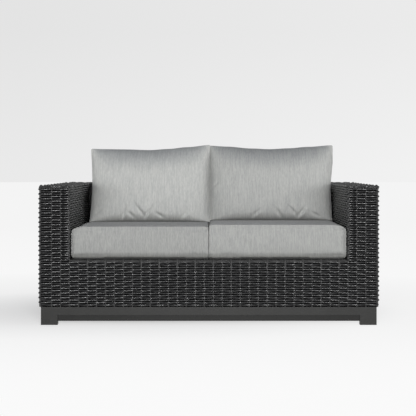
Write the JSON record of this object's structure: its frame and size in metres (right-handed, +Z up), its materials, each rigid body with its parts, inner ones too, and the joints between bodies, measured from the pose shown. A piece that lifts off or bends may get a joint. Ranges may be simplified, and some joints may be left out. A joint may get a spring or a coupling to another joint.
{
  "type": "patio loveseat",
  "caption": "Two-seat patio sofa with woven resin arms, back and apron on a dark metal base, boxed seat cushions and knife-edge back cushions.",
  "frame": {"origin": "on the floor under the middle of the sofa's outer box", "axes": "+X to the right seen from the front, the front faces -Y, +Z up"},
  "size_m": [1.626, 0.864, 0.8749],
  "materials": {
    "powder_coat": "satin powder coat, dark grey",
    "glide_plastic": "matte",
    "zinc_steel": "satin",
    "frame_aluminium": "satin",
    "resin_wicker": "satin woven resin strand",
    "cushion_cloth": "matte heathered woven cloth",
    "cushion_foam": "matte",
    "cushion_fibre": "matte",
    "zip_tape": "matte",
    "zip_metal": "satin"
  },
  "bodies": {
    "frame": {"leg_rear_right": "powder_coat", "leg_rear_left": "powder_coat", "leg_front_right": "powder_coat", "leg_front_left": "powder_coat", "base_rail_rear": "powder_coat", "base_rail_front": "powder_coat", "base_rail_right": "powder_coat", "base_rail_left": "powder_coat", "lower_rail_rear": "powder_coat", "lower_rail_front": "powder_coat", "lower_rail_right": "powder_coat", "lower_rail_left": "powder_coat", "base_crossbar": "powder_coat", "base_corner_plates": "powder_coat", "leg_glides": "glide_plastic", "base_bolts": "zinc_steel", "base_nuts": "zinc_steel", "arm_right_side_rails": "frame_aluminium", "arm_left_side_rails": "frame_aluminium", "arm_right_posts": "frame_aluminium", "arm_left_posts": "frame_aluminium", "arm_right_spreaders": "frame_aluminium", "arm_left_spreaders": "frame_aluminium", "back_top_rails": "frame_aluminium", "back_bottom_rail": "frame_aluminium", "back_uprights": "frame_aluminium", "back_spreaders": "frame_aluminium", "seat_rail_front": "frame_aluminium", "seat_rail_rear": "frame_aluminium", "seat_bearers": "frame_aluminium", "seat_centre_post": "frame_aluminium", "apron_rail": "frame_aluminium", "apron_uprights": "frame_aluminium", "wicker_arm_right": "resin_wicker", "wicker_arm_left": "resin_wicker", "wicker_back": "resin_wicker", "wicker_apron": "resin_wicker", "wicker_deck": "resin_wicker"},
    "seat_cushion_left": {"seat_cushion_left_cover": "cushion_cloth", "seat_cushion_left_foam": "cushion_foam", "seat_cushion_left_zip_tape": "zip_tape"},
    "seat_cushion_left_zip_slider": {"seat_cushion_left_zip_slider": "zip_metal"},
    "seat_cushion_left_zip_pull": {"seat_cushion_left_zip_pull": "zip_metal"},
    "seat_cushion_right": {"seat_cushion_right_cover": "cushion_cloth", "seat_cushion_right_foam": "cushion_foam", "seat_cushion_right_zip_tape": "zip_tape"},
    "seat_cushion_right_zip_slider": {"seat_cushion_right_zip_slider": "zip_metal"},
    "seat_cushion_right_zip_pull": {"seat_cushion_right_zip_pull": "zip_metal"},
    "back_cushion_left": {"back_cushion_left_cover": "cushion_cloth", "back_cushion_left_filling": "cushion_fibre", "back_cushion_left_zip_tape": "zip_tape"},
    "back_cushion_left_zip_slider": {"back_cushion_left_zip_slider": "zip_metal"},
    "back_cushion_left_zip_pull": {"back_cushion_left_zip_pull": "zip_metal"},
    "back_cushion_right": {"back_cushion_right_cover": "cushion_cloth", "back_cushion_right_filling": "cushion_fibre", "back_cushion_right_zip_tape": "zip_tape"},
    "back_cushion_right_zip_slider": {"back_cushion_right_zip_slider": "zip_metal"},
    "back_cushion_right_zip_pull": {"back_cushion_right_zip_pull": "zip_metal"}
  },
  "joints": [
    {"name": "seat_cushion_left_lift", "type": "slide", "parent": "frame", "child": "seat_cushion_left", "axis": [0, 0, 1], "range_m": [0, 0.4]},
    {"name": "seat_cushion_left_zip", "type": "slide", "parent": "seat_cushion_left", "child": "seat_cushion_left_zip_slider", "axis": [1, 0, 0], "range_m": [0, 0.48]},
    {"name": "seat_cushion_left_zip_pull_swing", "type": "hinge", "parent": "seat_cushion_left_zip_slider", "child": "seat_cushion_left_zip_pull", "pos_m": [-0.5832, 0.2552, 0.3873], "axis": [0, 0, 1], "range_deg": [0, 170]},
    {"name": "seat_cushion_right_lift", "type": "slide", "parent": "frame", "child": "seat_cushion_right", "axis": [0, 0, 1], "range_m": [0, 0.4]},
    {"name": "seat_cushion_right_zip", "type": "slide", "parent": "seat_cushion_right", "child": "seat_cushion_right_zip_slider", "axis": [1, 0, 0], "range_m": [0, 0.48]},
    {"name": "seat_cushion_right_zip_pull_swing", "type": "hinge", "parent": "seat_cushion_right_zip_slider", "child": "seat_cushion_right_zip_pull", "pos_m": [0.0753, 0.2552, 0.3913], "axis": [0, 0, 1], "range_deg": [0, 170]},
    {"name": "back_cushion_left_lift", "type": "slide", "parent": "seat_cushion_left", "child": "back_cushion_left", "axis": [0, 0, 1], "range_m": [0, 0.3]},
    {"name": "back_cushion_left_zip", "type": "slide", "parent": "back_cushion_left", "child": "back_cushion_left_zip_slider", "axis": [1, 0, 0], "range_m": [0, 0.23]},
    {"name": "back_cushion_left_zip_pull_swing", "type": "hinge", "parent": "back_cushion_left_zip_slider", "child": "back_cushion_left_zip_pull", "pos_m": [-0.44795, 0.23234, 0.51911], "axis": [0, 0.4377, 0.8991], "range_deg": [0, 170]},
    {"name": "back_cushion_right_lift", "type": "slide", "parent": "seat_cushion_right", "child": "back_cushion_right", "axis": [0, 0, 1], "range_m": [0, 0.3]},
    {"name": "back_cushion_right_zip", "type": "slide", "parent": "back_cushion_right", "child": "back_cushion_right_zip_slider", "axis": [1, 0, 0], "range_m": [0, 0.23]},
    {"name": "back_cushion_right_zip_pull_swing", "type": "hinge", "parent": "back_cushion_right_zip_slider", "child": "back_cushion_right_zip_pull", "pos_m": [0.19955, 0.23287, 0.52525], "axis": [0, 0.4415, 0.8973], "range_deg": [0, 170]}
  ]
}
